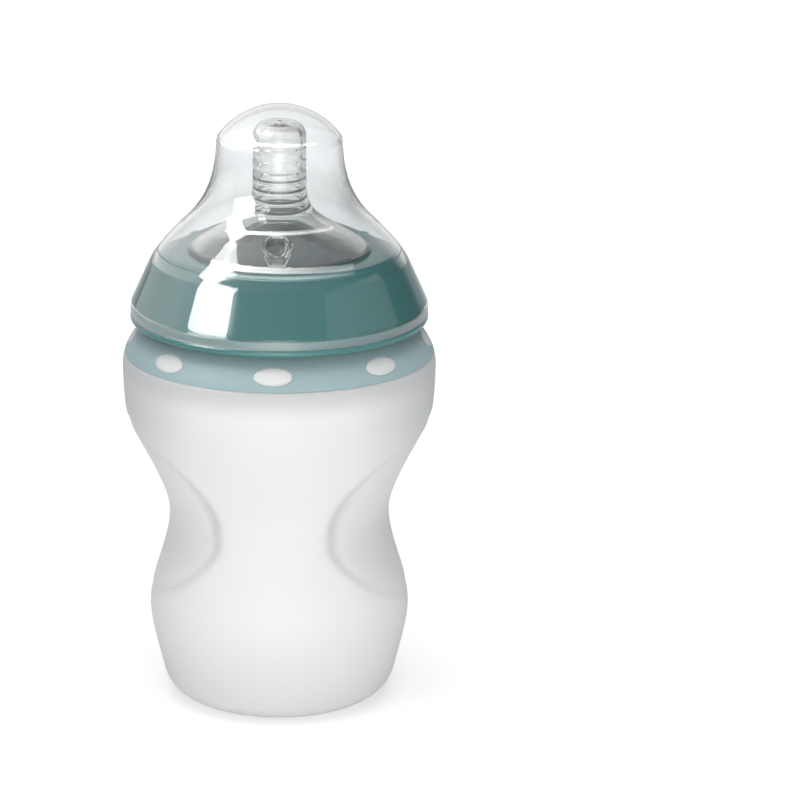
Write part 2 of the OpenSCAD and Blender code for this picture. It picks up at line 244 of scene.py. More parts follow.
def chain(*runs):
    """Several runs of points as one, without the points that repeat the one before."""
    p = np.vstack([np.atleast_2d(np.asarray(r, float)) for r in runs])
    return p[np.r_[True, np.hypot(*np.diff(p, axis=0).T) > 1e-4]]


def eased(points, radius, steps=4):
    """The points with each inner corner rounded: it is cut back by the radius on both sides,
    or by 0.45 of a shorter side, and a quadratic curve that the corner steers joins the cuts."""
    p = chain(points)
    before, here, after = p[:-2], p[1:-1], p[2:]
    t = np.linspace(0, 1, steps + 1)[None, :, None]

    def cut(other):
        side = other - here
        size = np.hypot(side[:, 0], side[:, 1])[:, None]
        return here + side / size * np.minimum(radius, 0.45 * size)

    q0, q1, q2 = cut(before)[:, None], here[:, None], cut(after)[:, None]
    curves = (1 - t) ** 2 * q0 + 2 * t * (1 - t) * q1 + t * t * q2
    return chain(p[:1], curves.reshape(-1, 2), p[-1:])


def polar(r, angle, z):
    """Points at these radii, angles and heights: (r cos, r sin, z)."""
    return np.stack(np.broadcast_arrays(r * np.cos(angle), r * np.sin(angle), z), -1)


def turned(profile, a=0.0, b=360.0, columns=COLUMNS):
    """A grid that carries a profile (radius, height) round Z from angle a to b, in degrees."""
    return polar(profile[:, :1], np.radians(np.linspace(a, b, columns + 1)), profile[:, 1:])


def hole_grid(u_span, v_span, nu, nv, rim, rings):
    """A grid (u, v) between a rectangle's outline and a rim inside it: ring i is
    rim + (outline - rim) w, where w grows from 0 to 1 and faster further out. rim gives the
    hole's (u, v) at an angle, which is the outline point's own direction from the middle."""
    (u0, u1), (v0, v1) = u_span, v_span
    s, t = np.arange(nu) / nu, np.arange(nv) / nv
    one_s, one_t = np.ones(nu), np.ones(nv)
    u, v = u0 + (u1 - u0) * s, v0 + (v1 - v0) * t
    outline = np.vstack([
        np.column_stack([u, v0 * one_s]), np.column_stack([u1 * one_t, v]),
        np.column_stack([u0 + u1 - u, v1 * one_s]), np.column_stack([u0 * one_t, v0 + v1 - v])])
    outline = np.vstack([outline, outline[:1]])
    a = np.arctan2((outline[:, 1] - (v0 + v1) / 2) / (v1 - v0),
                   (outline[:, 0] - (u0 + u1) / 2) / (u1 - u0))
    w = (np.arange(rings + 1) / rings)[:, None, None] ** 1.3
    inner = rim(a)[None]
    return inner + (outline[None] - inner) * w, a


def swept_thread(root, crest, z, turn, s):
    """The grids of a right-handed thread that turns through this many degrees: a trapezium
    (root, crest, crest, root) whose middle lies at z + pitch * angle / 360. It fades to nothing
    over run_in degrees at both ends, which are closed."""
    step, run_in, sunk = 3, 30, 0.3
    t = np.linspace(0, turn, int(turn / step) + 1)
    fade = np.clip(np.minimum(t, turn - t) / run_in, 0.02, 1)
    fade = fade * fade * (3 - 2 * fade)
    sign = np.sign(crest - root)
    top = root + (crest - root) * fade
    soft = 0.25 * fade
    wide = s.thread_w / 2 + 0 * t
    slim = wide - wide / 2 * fade
    out = [root - sunk * sign + 0 * t, root + 0 * t, top - soft * sign, top]
    up = [wide, wide, slim + soft * 0.3, slim - soft]
    r = np.stack([*out, *out[::-1], out[0]])
    dz = np.stack([*(-part for part in up), *up[::-1], -wide])
    grid = polar(r, np.radians(t), z + s.pitch * t / 360 + dz)
    middle = grid[:8].mean(axis=0)
    ends = [np.stack([grid[:, i], np.repeat(middle[i][None], len(grid), 0)]) for i in (0, -1)]
    return [grid, *ends]


# ---------------------------------------------------------------- meshes and pieces


def new_object(name, data):
    """A new object in the scene that holds this data."""
    found = bpy.data.objects.new(name, data)
    bpy.context.scene.collection.objects.link(found)
    return found


def weld(mesh):
    """Merges a mesh's doubles, so that faces with no width vanish, and turns its faces
    outwards."""
    shell = bmesh.new()
    shell.from_mesh(mesh)
    bmesh.ops.remove_doubles(shell, verts=shell.verts, dist=0.002 * MM)
    bmesh.ops.recalc_face_normals(shell, faces=shell.faces)
    shell.to_mesh(mesh)
    shell.free()


def mesh_piece(name, grids, material, body, replaces=(), sharp=38):
    """One closed mesh from several grids of points in millimetres, which meet where their edges
    lie on each other. Edges sharper than the angle stay sharp."""
    points, quads, start = [], [], 0
    for g in grids:
        rows, columns = g.shape[:2]
        i = start + np.arange(rows * columns).reshape(rows, columns)
        quads.append(np.stack([i[:-1, :-1], i[:-1, 1:], i[1:, 1:], i[1:, :-1]], -1).reshape(-1, 4))
        points.append(g.reshape(-1, 3))
        start += rows * columns
    mesh = bpy.data.meshes.new(name)
    mesh.from_pydata(np.vstack(points) * MM, [], np.vstack(quads))
    weld(mesh)
    mesh.shade_smooth()
    mesh.set_sharp_from_angle(angle=math.radians(sharp))
    mesh.materials.append(material)
    piece = new_object(name, mesh)
    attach(piece, body)
    if replaces:
        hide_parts(*replaces)
    return piece


# ---------------------------------------------------------------- soft body


def shoulder_z(s):
    """Height of the widest place, where the rounding over the shoulder begins."""
    return s.body_h - s.shoulder_drop


def shoulder_run(s, radius, z0, z1, steps):
    """The rounding over the shoulder at this radius, from height z0 to z1."""
    zc = shoulder_z(s)
    a, b = (math.degrees(math.asin((z - zc) / radius)) for z in (z0, z1))
    return arc((s.shoulder_r - s.shoulder_round, zc), radius, a, b, steps)


def wall_run(s, start, top, steps=(24, 44, 62)):
    """The body's wall from just above the base up to the shoulder: three cubic curves that
    meet upright at the bulge and the waist. A pull is how far a curve keeps the direction that
    it leaves or arrives in."""
    lean = math.tan(math.radians(s.base_lean))
    bulge, waist = np.array([s.bulge_r, s.bulge_z]), np.array([s.waist_r, s.waist_z])
    top = np.asarray(top, float)
    pull, bulge_pull, top_pull = 8, 5.5, 23.5
    up = np.array([0, 1])
    return chain(
        bezier(start, start + pull * np.array([lean, 1]), bulge - bulge_pull * up, bulge,
               steps[0]),
        bezier(bulge, bulge + pull * up, waist - pull * up, waist, steps[1]),
        bezier(waist, waist + pull * up, top - top_pull * up, top, steps[2]))


def body_profiles(s):
    """The outer and the inner profile of the soft body, each from the axis to the mouth."""
    zc = shoulder_z(s)
    lean = math.radians(s.base_lean)
    turn = np.array([math.cos(lean), -math.sin(lean)])
    under = s.plate_z - s.collar_t
    sleeve = s.shoulder_round - s.collar_t - 0.05
    inner_round = s.base_round - s.body_wall
    foot = np.array([s.base_r, s.base_round])
    foot_in = np.array([s.base_r, s.floor_t + inner_round])
    top_edge = shoulder_run(s, s.shoulder_round, zc, s.body_h, 6)
    outer = chain(
        straight((0, s.recess_d), (s.recess_r - 1, s.recess_d), 8),
        eased([(s.recess_r - 1, s.recess_d), (s.recess_r, s.recess_d),
               (s.recess_r + s.recess_d, 0), (s.base_r, 0)], 0.5),
        arc(foot, s.base_round, -90, -s.base_lean, 16),
        wall_run(s, foot + s.base_round * turn, (s.shoulder_r, zc)),
        top_edge[:-1],
        # the upper edge is softened, so that the seam with the collar shows as a fine line
        top_edge[-1] - [[0.02, 0.25], [0.12, 0.06], [0.35, 0]],
        shoulder_run(s, sleeve, s.body_h, under, 10),
        (s.mouth_r, under))
    inner = chain(
        straight((0, s.floor_t), (s.base_r, s.floor_t), 8),
        arc(foot_in, inner_round, -90, -s.base_lean, 12),
        wall_run(s, foot_in + inner_round * turn + [s.body_wall, 0],
                 (s.shoulder_r, zc - 5), (8, 12, 20)) - [s.body_wall, 0],
        shoulder_run(s, sleeve - s.body_wall, zc + 1, under - s.body_wall, 8),
        (s.mouth_r, under - s.body_wall))
    return outer, inner


def wall_radius(s, z):
    """The outer wall's radius at these heights, before the grips go in."""
    outer, _ = body_profiles(s)
    wall = outer[(outer[:, 1] > s.recess_d) & (outer[:, 1] < shoulder_z(s))]
    return np.interp(z, wall[:, 1], wall[:, 0])


def soft_min(a, b, k):
    """The smaller of a and b, with the corner between them rounded over a width k:
    min(a, b) - h^2 k / 4, where h is how far |a - b| falls short of k, over k."""
    h = np.clip(k - np.abs(a - b), 0, None) / k
    return np.minimum(a, b) - h * h * k / 4


def grip_faces(s, z, angle, wall):
    """The radius at which the two grips' faces stand at this height and angle, and how far the
    height is towards the grips' lower end, from 0 to 1. Each face is a circle of radius
    offset + reach(z) about a point on the far side of the axis. The reach is smallest at the
    waist and flares as a hyperbola."""
    d = z - s.waist_z
    flare = np.where(d > 0, s.grip_flare_up, s.grip_flare_down)
    reach = s.grip_half_w + flare * (np.sqrt(d * d + s.grip_round ** 2) - s.grip_round)
    ring = s.grip_offset + reach - wall
    across = np.sqrt(np.clip(ring ** 2 - (s.grip_offset * np.sin(angle)) ** 2, 0, None))
    low_part = np.clip((s.waist_z + 4 - z) / 26, 0, 1)
    return [across + side * s.grip_offset * np.cos(angle) for side in (-1, 1)], low_part


def gripped(s, r, z, angle, wall):
    """The body's radius at this height and angle: the soft minimum of its round section and
    the two grips' faces. Along a grip's edge, where section and face are equal, a fold goes in
    by depth * exp(-(difference / width)^2), and gets shallower towards the lower end."""
    faces, low_part = grip_faces(s, z, angle, wall)
    k = s.crease_top + (s.crease_low - s.crease_top) * low_part * low_part * (3 - 2 * low_part)
    found = r
    for grip in faces:
        fold = s.crease_d * np.exp(-((r - grip) / s.crease_w) ** 2) * (1 - 0.8 * low_part)
        found = soft_min(found, grip, k) - np.where(wall > 0, 0, fold)
    return np.where(r < 1e-6, 0, found)


def mark_grips(s, mesh):
    """Two attributes on the body's points, which tell its material where to paint shade: fold,
    exp(-(difference / fold_w)^2) from a grip's edge, and grip, which grows from 0 to 1 over
    behind_w from just before that edge. Both fade out towards the grip's upper end and almost out
    towards its lower end."""
    fold_w, before, behind_w = 0.5, 0.2, 1.2
    upper_end, upper_fade, low_loss = s.waist_z + 24, 14, 0.85
    p = np.zeros(len(mesh.vertices) * 3)
    mesh.vertices.foreach_get("co", p)
    x, y, z = p.reshape(-1, 3).T / MM
    faces, low_part = grip_faces(s, z, np.arctan2(y, x), 0.0)
    behind = wall_radius(s, z) - np.min(faces, axis=0)
    stays = np.clip((upper_end - z) / upper_fade, 0, 1) * (1 - low_loss * low_part)
    marks = {"fold": np.exp(-(behind / fold_w) ** 2) * stays,
             "grip": np.clip((behind + before) / behind_w, 0, 1) * stays}
    for name, value in marks.items():
        mesh.attributes.new(name, "FLOAT", "POINT").data.foreach_set("value", value)


def body_grid(s):
    """The whole wall as one grid of radius over height and angle: outside up, inside down. Its
    columns stand closer where the grips' edges run: t + sin(4 t) / 10."""
    outer, inner = body_profiles(s)
    rows = np.vstack([outer, inner[::-1]])
    wall = np.r_[np.zeros(len(outer)), np.full(len(inner), s.body_wall)][:, None]
    t = np.linspace(0, 2 * np.pi, BODY_COLUMNS + 1)[None]
    t = t + np.sin(4 * t) / 10
    return polar(gripped(s, rows[:, :1], rows[:, 1:], t, wall), t, rows[:, 1:])


class BOTTLE_OT_body(bpy.types.Operator):
    """Builds the soft body with a grip in each side"""

    bl_idname = "bottle.body"
    bl_label = "Soft body"

    def execute(self, context):
        s = sizes()
        piece = mesh_piece("silicone_body", [body_grid(s)], frosted_silicone(),
                           "bottle", ["bottle_body"], sharp=50)
        mark_grips(s, piece.data)
        return {"FINISHED"}


# ---------------------------------------------------------------- collar and pegs


def shoulder_at(s, radius, z):
    """How far the rounding over the shoulder stands from the axis at these heights."""
    out = np.sqrt(np.clip(radius ** 2 - (z - shoulder_z(s)) ** 2, 0, None))
    return s.shoulder_r - s.shoulder_round + out


def oval(s, radius, a, grow=0.0, sink=0.0):
    """A window's oval on the collar as (angle from the window's middle, height). Seen level,
    it is (w/2 cos a, h/2 sin a), so its angle is the sideways part over the radius there."""
    z = s.body_h + s.peg_z + (s.peg_h / 2 + grow) * np.sin(a)
    x = (s.peg_w / 2 + grow) * np.cos(a)
    return np.arcsin(x / (shoulder_at(s, radius, z) - sink)), z


def window_angles(s):
    """The middle angle of each window, the first at the front."""
    return -np.pi / 2 + 2 * np.pi / s.peg_count * np.arange(s.peg_count)


def thread_start(s):
    """Height of the middle of the neck's thread, where it begins."""
    return s.plate_z + 4.6


def collar_grids(s):
    """The collar: like sectors with an oval hole each, outside and inside, their holes' walls,
    the lower edge, and the top with the neck as turned profiles."""
    zc = shoulder_z(s)
    inner_r = s.shoulder_round - s.collar_t
    nu, nv = COLUMNS // s.peg_count, 14
    half = np.pi / s.peg_count
    under = s.plate_z - s.collar_t
    edge = 0.12
    out_top, in_top = s.plate_z - 0.9, under - 0.2
    faces = ((s.shoulder_round, out_top, edge), (inner_r, in_top, 0))
    grids = []
    for middle in window_angles(s):
        rims = []
        for radius, z1, grow in faces:
            span = [math.asin((z - zc) / radius) for z in (s.body_h + edge, z1)]

            def rim(a, radius=radius, grow=grow):
                u, z = oval(s, radius, a, grow)
                return np.column_stack([u, np.arcsin((z - zc) / radius)])

            uv, a = hole_grid((-half, half), span, nu, nv, rim, 8)
            z = zc + radius * np.sin(uv[..., 1])
            grids.append(polar(shoulder_at(s, radius, z), uv[..., 0] + middle, z))
            rims.append((grids[-1][0], a))
        # the hole's wall: a small rounding from the outer face, then straight in
        (outer_rim, a), (inner_rim, _) = rims
        rows = [outer_rim]
        for grow, sink in ((0.06, 0.02), (0.02, 0.06), (0, 0.2)):
            u, z = oval(s, s.shoulder_round, a, grow, sink)
            rows.append(polar(shoulder_at(s, s.shoulder_round, z) - sink, u + middle, z))
        grids.append(np.stack([*rows, inner_rim]))
    lower, lower_in = (shoulder_run(s, r, s.body_h, s.body_h + edge, 1)
                       for r in (s.shoulder_round, inner_r))
    grids.append(turned(chain(lower[1], lower[0] + [[-0.02, 0.1], [-0.12, 0.02], [-0.3, 0]],
                              lower_in)))
    neck_foot = (s.neck_r + 0.8, s.plate_z)
    top = chain(shoulder_run(s, s.shoulder_round, out_top, s.plate_z, 4), neck_foot)
    neck = eased([neck_foot, (s.neck_r, s.plate_z), (s.neck_r, s.rim_z), (s.mouth_r, s.rim_z),
                  (s.mouth_r, under), (s.mouth_r + 1, under)], 0.5)
    inside = shoulder_run(s, inner_r, in_top, under, 1)
    grids.append(turned(chain(top, neck, inside[::-1])))
    grids += swept_thread(s.neck_r, s.neck_r + s.thread_d, thread_start(s), 396, s)
    return grids


def peg_grids(s):
    """The pegs in the windows: each an oval face almost level with the collar's own face, with
    its edge rounded over and an upright side going in."""
    clear, depth = 0.05, 1.6
    share = np.r_[np.linspace(0.02, 0.9, 9), 0.96, 0.99, 1.0][:, None]
    sink = (np.r_[np.zeros(9), 0.01, 0.04, 0.1] + 0.02)[:, None]
    a = np.linspace(0, 2 * np.pi, 48 + 1)
    x = share * (s.peg_w / 2 - clear) * np.cos(a)
    z = s.body_h + s.peg_z + share * (s.peg_h / 2 - clear) * np.sin(a)
    r = shoulder_at(s, s.shoulder_round, z)
    grids = []
    for middle in window_angles(s):
        u = np.arcsin(x / r) + middle
        face = polar(r - sink, u, z)
        deep = face[-1] - polar(depth, u[-1], 0 * a)
        centre, core = (np.repeat(ring.mean(axis=0)[None], len(a), 0)
                        for ring in (face[0], deep))
        grids.append(np.stack([centre, *face, deep, core]))
    return grids


class BOTTLE_OT_collar(bpy.types.Operator):
    """Builds the rigid collar with its windows, neck and thread, and the pegs in the windows"""

    bl_idname = "bottle.collar"
    bl_label = "Collar and pegs"

    def execute(self, context):
        s = sizes()
        mesh_piece("moulded_collar", collar_grids(s), satin_polypropylene(),
                   "bottle", ["collar"])
        mesh_piece("silicone_pegs", peg_grids(s), frosted_silicone(),
                   "bottle", sharp=60)
        return {"FINISHED"}


# ---------------------------------------------------------------- screw ring


def cone_slope(s):
    """How much the ring's cone narrows in each millimetre of height."""
    return (s.cone_r - s.cone_top_r) / (s.ring_top_z - s.ledge_z - s.foot_h)


def cone_at(s, z):
    """Radius of the ring's cone at a height."""
    return s.cone_r - cone_slope(s) * (z - s.ledge_z - s.foot_h)


def ring_grids(s):
    """The screw ring as one turned profile that closes on itself, and its thread."""
    skirt_r = s.neck_r + s.thread_d + s.thread_gap
    skirt_out = skirt_r + s.skirt_t
    skirt_z = s.ring_z + 1.2
    under = s.ring_top_z - s.ring_top_t
    foot_z = s.ledge_z + s.foot_h
    foot_in = s.cone_r - s.cone_t
    pocket = foot_z + (foot_in - skirt_out - 0.8) / cone_slope(s)
    seam = ((s.hole_r + skirt_r) / 2, under)
    inside = eased([seam, (skirt_r, under), (skirt_r, skirt_z), (skirt_out, skirt_z),
                    (skirt_out, pocket), (cone_at(s, pocket) - s.cone_t, pocket),
                    (foot_in, s.ring_z + 0.8), (foot_in, s.ring_z),
                    (s.rim_r - 1.4, s.ring_z)], 0.3)
    # the rim is a bead: full below, with a crisp step in to the ledge above it
    full, crisp = 0.9, 0.45
    bead = chain(arc((s.rim_r - full, s.ring_z + full), full, -90, 0, 8),
                 arc((s.rim_r - crisp, s.ledge_z - crisp), crisp, 0, 90, 6))
    brow_z = s.ring_top_z - s.brow_h
    cone_foot, cone_end = ((cone_at(s, z), z) for z in (foot_z + 2, brow_z - 1))
    cone = chain(eased([(s.rim_r - 0.5, s.ledge_z), (s.cone_r, s.ledge_z), (s.cone_r, foot_z),
                        cone_foot], 0.25),
                 straight(cone_foot, cone_end, 10))
    edge = np.array([s.cone_top_r - s.brow_d, s.ring_top_z])
    top = chain(eased([cone_end, (cone_at(s, brow_z), brow_z), edge], 1)[:-1],
                eased([edge + [0.75, -0.75], edge, (s.hole_r, s.ring_top_z), (s.hole_r, under),
                       seam], 0.3, 6))
    thread_z = thread_start(s) - s.pitch / 2 + 0.15
    return [turned(chain(inside, bead, cone, top), columns=SHELL_COLUMNS),
            *swept_thread(skirt_r, s.neck_r + s.thread_gap, thread_z, 360, s)]


class BOTTLE_OT_ring(bpy.types.Operator):
    """Builds the glossy screw ring with its bead, cone, flat top and inner thread"""

    bl_idname = "bottle.ring"
    bl_label = "Screw ring"

    def execute(self, context):
        mesh_piece("screw_ring_shell", ring_grids(sizes()), polished_polypropylene(),
                   "ring", ["screw_ring"], sharp=30)
        return {"FINISHED"}


# ---------------------------------------------------------------- teat


def lip_radii(s):
    """Radius of the groove that takes the ring's hole, and of the dome's lip over it."""
    groove = s.hole_r - s.hole_gap
    return groove, groove + s.dome_lip + s.hole_gap


def dome_run(s, d):
    """The dome's profile drawn in by d, from its edge up to the nipple's foot."""
    _, lip_r = lip_radii(s)
    foot = np.array([s.nipple_r + 0.1 - d, s.ring_top_z + s.nipple_z])
    return bezier((lip_r - d, s.ring_top_z + 0.8 - d / 2),
                  (15 - d / 2, s.ring_top_z + 6.1 - d),
                  (s.nipple_r + 0.3 - d, s.ring_top_z + 7.1 - d), foot, 150)


def ribbed(profile, depth, pitch, lowest, highest):
    """The profile with flexing ribs: its radius loses depth * exp(-(x / 0.45)^2), where x is
    the height's distance in millimetres from the nearest of the places that lie a pitch apart
    from the highest down to the lowest."""
    z = profile[:, 1]
    x = np.abs((z - highest + pitch / 2) % pitch - pitch / 2)
    inside = (z > lowest - pitch / 2) & (z < highest + pitch / 2)
    return profile - np.column_stack([depth * np.exp(-(x / 0.45) ** 2) * inside, 0 * z])


def teat_outline(s, d, wall):
    """The nipple and dome from the hole in the tip down to the dome's edge, drawn in by d on
    the dome and by wall on the nipple."""
    tip = arc((s.nipple_r - s.tip_round, s.tip_z - s.tip_round), s.tip_round - wall, 90, 0, 14)
    side = straight((s.nipple_r - wall, s.tip_z - s.tip_round),
                    (s.nipple_r + 0.1 - wall, s.ring_top_z + s.nipple_z), 90)
    dome = dome_run(s, d)[::-1]
    # the dome's wall is a little thicker than the nipple's, and eases into it
    share = np.clip((dome[:, 1] - s.ring_top_z - s.nipple_z + 4) / 4, 0, 1) ** 2
    dome = dome + np.column_stack([(d - wall) * share, 0 * share])
    outer_ribs = (s.rib_d, s.rib_pitch, s.rib_low, s.rib_high)
    inner_ribs = (s.inner_rib_d, (s.inner_rib_high - s.inner_rib_low) / 3, s.inner_rib_low,
                  s.inner_rib_high)
    depth, pitch, lowest, highest = inner_ribs if wall else outer_ribs
    run = ribbed(chain(side, dome), depth, pitch, s.ring_top_z + lowest, s.ring_top_z + highest)
    return chain((s.flow_d / 2, s.tip_z - wall), tip[1:], run)


def at_radius(profile, r):
    """Heights of a profile, which goes by growing radius, at these radii."""
    return np.interp(r, profile[:, 0], profile[:, 1])


def dome_band(s, profile, hole, span, half, nv):
    """A band of the dome between two radii with a hole for the valve at the front. Heights come
    from the profile. hole(a) gives the rim in plan, as its distance from the valve's middle.
    Returns the grids, and the rim's points with their angles."""
    nu = int(round(2 * half / (360 / COLUMNS)))

    def rim(a):
        q = hole(a)
        x, y = q * np.cos(a), -s.valve_x - q * np.sin(a)
        return np.column_stack([np.arctan2(x, -y), np.hypot(x, y)])

    wide = math.radians(half)
    uv, a = hole_grid((-wide, wide), span, nu, nv, rim, 12)
    u, r = uv[..., 0] - np.pi / 2, uv[..., 1]
    patch = polar(r, u, at_radius(profile, r))
    rows = span[0] + (span[1] - span[0]) * np.arange(nv + 1) / nv
    rest = turned(np.column_stack([rows, at_radius(profile, rows)]),
                  -90 + half, 270 - half, COLUMNS - nu)
    return [patch, rest], patch[0], a


def valve_grid(s, a, foot_z, top_rim, below_rim, cup_q):
    """The air valve as one grid, from the mouth in the dome down a well to a slit in its foot,
    and up the cup's outer wall to the dome's inside, which the cup meets at distance cup_q."""

    def about(wide, deep, z):
        """An oval of points about the valve's middle, at height z."""
        return np.stack([wide * np.cos(a), -s.valve_x - deep * np.sin(a), z + 0 * a], -1)

    def circle(q, z):
        """A circle about the valve's middle, at height z."""
        return about(q, q, z)

    def slit(z):
        """The slit's outline at a height, a flat oval."""
        return about(s.valve_foot_r - 0.9, s.slit_w / 2, z)

    mouth_z = top_rim[:, 2]
    well_foot = foot_z + 0.8
    well_top = np.minimum(well_foot + 3.6, mouth_z - 0.6)
    well_r = s.valve_foot_r - 1
    cup_z = foot_z + 0.25
    mouth = [circle(s.valve_mouth_r + q, mouth_z - drop)
             for q, drop in ((0.3, 0.06), (0.12, 0.2), (0, 0.5))]
    well = [circle(s.valve_mouth_r + (well_r - s.valve_mouth_r) * t,
                   well_top + (well_foot - well_top) * t) for t in np.linspace(0, 1, 6)]
    foot = [circle(well_r * 0.8, well_foot - 0.05), slit(well_foot - 0.05), slit(foot_z),
            circle(s.valve_foot_r * 0.9, foot_z), circle(s.valve_foot_r, cup_z)]
    cup = [circle(s.valve_foot_r + (cup_q - s.valve_foot_r) * t,
                  cup_z + (below_rim[:, 2] - cup_z) * t) for t in (0.25, 0.5, 0.75)]
    return np.stack([top_rim, *mouth, *well, *foot, *cup, below_rim])


def teat_grids(s):
    """The teat as one closed skin: nipple and dome outside and inside, the flange that the
    ring clamps, the flow hole in the tip, and the air valve, a well from the dome's face down
    to a slit, with the cup's outer wall round it."""
    d = s.teat_wall + 0.2
    groove_r, lip_r = lip_radii(s)
    outside = teat_outline(s, 0, 0)
    inside = teat_outline(s, d, s.teat_wall)
    span, half, nv = (10.6, 20.9), 27.0, 18
    foot_z, cup_h = s.ring_top_z - s.valve_drop, 4.4

    def by_radius(profile):
        """The run of the profile that is the dome, by growing radius."""
        part = profile[profile[:, 1] < s.ring_top_z + s.nipple_z]
        return part[np.argsort(part[:, 0])]

    def mouth(a):
        """The rounded edge of the valve's mouth."""
        return s.valve_mouth_r + 0.5 + 0 * a

    def cup_rim(a):
        """Where the cup's cone meets the dome's inside, found by halving."""
        lo_q, hi_q = np.full(a.shape, s.valve_foot_r), np.full(a.shape, s.valve_r)
        for _ in range(24):
            q = (lo_q + hi_q) / 2
            r = np.hypot(q * np.cos(a), s.valve_x + q * np.sin(a))
            z = foot_z + (q - s.valve_foot_r) / (s.valve_r - s.valve_foot_r) * cup_h
            under = z < at_radius(in_dome, r)
            lo_q, hi_q = np.where(under, q, lo_q), np.where(under, hi_q, q)
        return (lo_q + hi_q) / 2

    def ends(profile, dome):
        """The part of a profile above the band and the part below it, meeting it exactly."""
        z0, z1 = at_radius(dome, span)
        clear = 1e-3
        upper = profile[profile[:, 1] > z0 + clear]
        lower = profile[(profile[:, 0] > span[1] + clear) & (profile[:, 1] < s.ring_top_z + 6)]
        return chain(upper, (span[0], z0)), chain((span[1], z1), lower)

    out_dome, in_dome = by_radius(outside), by_radius(inside)
    top, top_rim, a = dome_band(s, out_dome, mouth, span, half, nv)
    below, below_rim, _ = dome_band(s, in_dome, cup_rim, span, half, nv)
    out_high, out_low = ends(outside, out_dome)
    in_high, in_low = ends(inside, in_dome)
    under = s.ring_top_z - s.ring_top_t
    groove_z = s.ring_top_z + 0.3
    foot_r = s.mouth_r - 2
    lip = eased([out_low[-1], (lip_r, groove_z), (groove_r, groove_z), (groove_r, under),
                 (s.flange_r, under), (s.flange_r, s.rim_z), (foot_r, s.rim_z),
                 (foot_r, s.rim_z + 0.6), (groove_r - d, under), in_low[-1]], 0.2)
    return [*top, *below, turned(chain(in_high[::-1], out_high)),
            turned(chain(out_low, lip, in_low[::-1])),
            valve_grid(s, a, foot_z, top_rim, below_rim, cup_rim(a))]


class BOTTLE_OT_teat(bpy.types.Operator):
    """Builds the clear teat with its ribs, flange, flow hole and air valve"""

    bl_idname = "bottle.teat"
    bl_label = "Teat"

    def execute(self, context):
        mesh_piece("clear_teat", teat_grids(sizes()), clear_silicone(),
                   "teat", ["teat"], sharp=40)
        return {"FINISHED"}


# ---------------------------------------------------------------- cap


def cap_run(s, rim, reach, d):
    """One face of the cap at distance d inside its outer face, from the rim to the top: a
    cone that runs parallel to the ring's, a flare, a waisted neck and a round top."""
    flare_z = s.ring_top_z - 3.4
    flare = np.array([cone_at(s, flare_z) + reach, flare_z])
    middle = np.array([flare[0] - 8.5 - d * 0.25, s.ring_top_z + 7 - d * 0.5])
    centre = (0, s.cap_top_z - s.dome_r)
    dome_foot = centre[1] + s.dome_r * math.sin(math.acos(s.cap_neck_r / s.dome_r))
    dome_start = math.degrees(math.acos((s.cap_neck_r - 0.2 - d) / (s.dome_r - d)))
    neck = np.array([s.cap_neck_r - d, dome_foot - 0.8 - d * 0.3])
    low_end = np.array([rim, s.ledge_z + s.foot_h + (s.cone_r + reach - rim) / cone_slope(s)])
    return chain(
        straight((rim, s.ledge_z), low_end, 2)[:-1],
        eased([(rim, low_end[1] - 0.6), low_end, flare], 0.5)[:-1],
        straight(low_end + (flare - low_end) * 0.2, flare, 10),
        bezier(flare, flare + [-1.5, 3.3], middle + [2.8, -2.8], middle, 22),
        bezier(middle, middle + [-5, 4.6], neck - [-0.2, 10.5], neck, 30),
        arc(centre, s.dome_r - d, dome_start, 90, 34))


def cap_grid(s):
    """The cap as one turned profile: down the outside from the axis and up the inside."""
    level = s.cap_wall * math.hypot(1, cone_slope(s))
    bears = -0.02
    outer = cap_run(s, s.cap_rim_r, s.cap_gap + level, 0)
    # the inner face bears on the ring's cone, so that the ring shows up to the cap's outline
    inner = cap_run(s, s.cap_rim_r - s.cap_rim_t, bears, s.cap_wall)
    edge = eased([outer[1], outer[0], inner[0], inner[1]], 0.25)
    return turned(chain(outer[::-1][:-1], edge, inner[1:]), columns=SHELL_COLUMNS)


class BOTTLE_OT_cap(bpy.types.Operator):
    """Builds the clear cap that stands on the ring's ledge"""

    bl_idname = "bottle.cap"
    bl_label = "Cap"

    def execute(self, context):
        mesh_piece("clear_cap", [cap_grid(sizes())], clear_polypropylene(),
                   "cap", ["cap"], sharp=35)
        return {"FINISHED"}


# ---------------------------------------------------------------- volume scale


def wrapped(s, flat, lift):
    """Flat points (sideways, height) laid on the back of the body, lift above its face:
    sideways is arc length, so the angle is 90 degrees + sideways / radius."""
    z = flat[:, 1]
    r = wall_radius(s, z)
    angle = np.pi / 2 + flat[:, 0] / r
    return polar(gripped(s, r, z, angle, 0.0) + lift, angle, z)


def level_at(s, millilitres):
    """The height at which the body holds this volume: the inner section's area summed up."""
    _, inner = body_profiles(s)
    rows = inner[(inner[:, 1] >= s.floor_t) & (np.r_[True, np.diff(inner[:, 1]) > 0])]
    z = np.linspace(s.floor_t, s.plate_z, 400)
    r = np.interp(z, rows[:, 1], rows[:, 0])
    t = np.linspace(0, 2 * np.pi, 181)[None, :-1]
    across = gripped(s, r[:, None], z[:, None], t, s.body_wall)
    area = (across ** 2).mean(axis=1) * np.pi
    held = np.r_[0, np.cumsum((area[1:] + area[:-1]) / 2 * np.diff(z))] / 1000
    return float(np.interp(millilitres, held, z))


